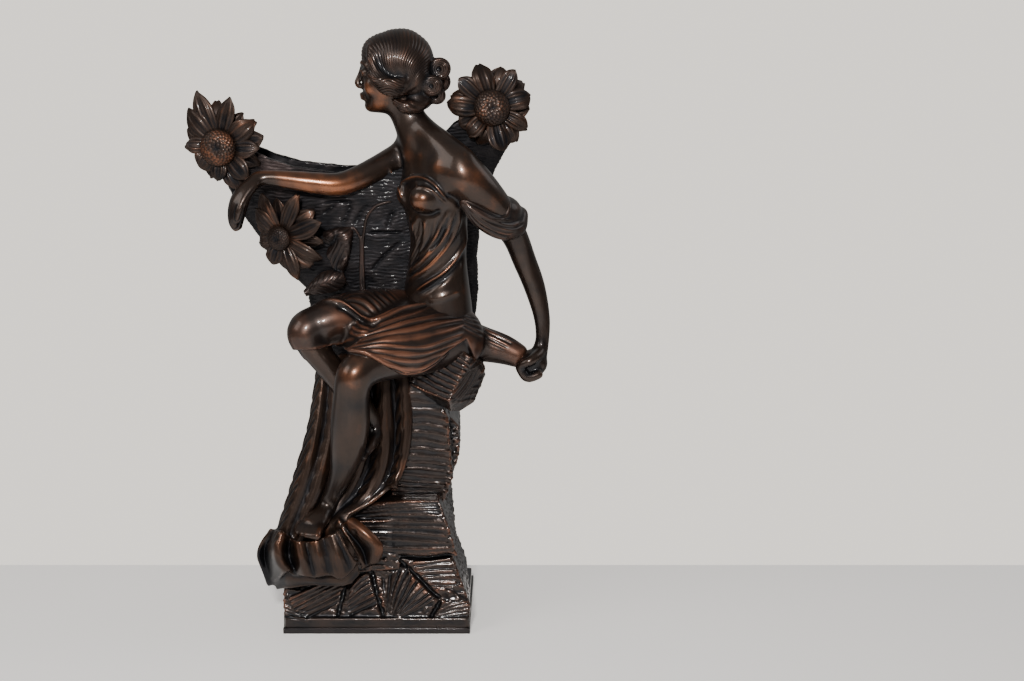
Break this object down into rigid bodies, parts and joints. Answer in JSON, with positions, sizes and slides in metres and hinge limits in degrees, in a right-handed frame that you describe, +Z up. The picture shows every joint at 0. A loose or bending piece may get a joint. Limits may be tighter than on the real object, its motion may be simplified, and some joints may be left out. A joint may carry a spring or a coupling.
{
  "type": "statue of a seated woman with sunflowers",
  "caption": "Bronze-finished statue of a seated woman resting an arm along a fan-shaped vase with sunflowers, on a rock base and rectangular plinth cast in one piece.",
  "frame": {"origin": "centre of the plinth's flat underside", "axes": "+Z up through the figure, -Y the front that faces the viewer, +X along the plinth's long side to the viewer's right"},
  "size_m": [0.3643, 0.175, 0.6008],
  "materials": {
    "bronze": "dark brown bronze patina, waxed to a soft gloss, rubbed copper-brown on raised places and blue-black in the hollows"
  },
  "bodies": {
    "root": {"statue": "bronze"}
  },
  "joints": []
}
